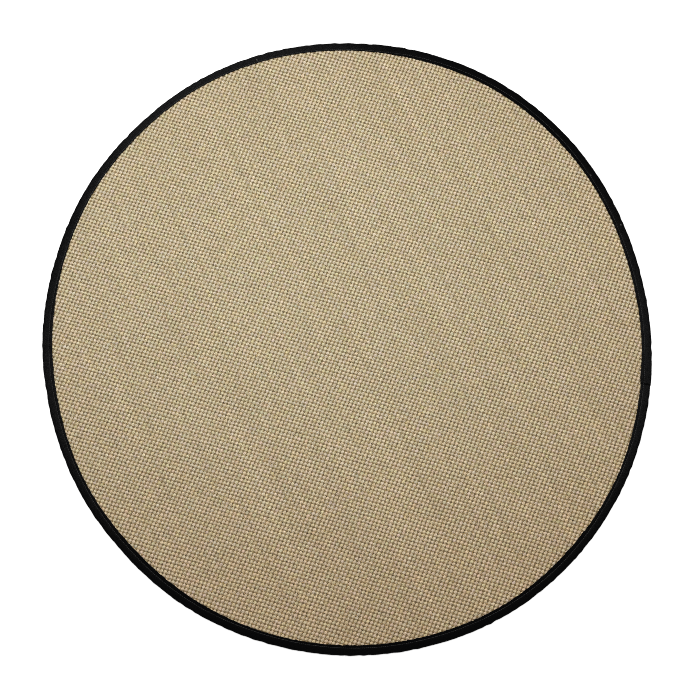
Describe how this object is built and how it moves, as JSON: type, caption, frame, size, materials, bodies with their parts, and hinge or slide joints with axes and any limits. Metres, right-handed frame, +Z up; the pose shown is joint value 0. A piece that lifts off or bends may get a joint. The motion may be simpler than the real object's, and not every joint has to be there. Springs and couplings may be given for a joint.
{
  "type": "bordered sisal rug",
  "caption": "Round flat rug of coarse diagonal-laid sisal weave, its cut edge bound with dark cotton tape folded over it and lapped over its own start.",
  "frame": {"origin": "on the resting face, under the middle of the outline's box", "axes": "+Z up out of the walked-on face, X and Y across the rug; the picture looks along +Y from above, with +X to the right"},
  "size_m": [1.4852, 1.5094, 0.0085],
  "materials": {
    "sisal": "coarse hairy twisted yarn in an even plain weave, matt, straw beige with darker hollows",
    "cotton_tape": "fine close canvas weave, matt black, softly rounded over the edge"
  },
  "bodies": {
    "root": {"sisal_field": "sisal", "binding_tape": "cotton_tape"}
  },
  "joints": []
}
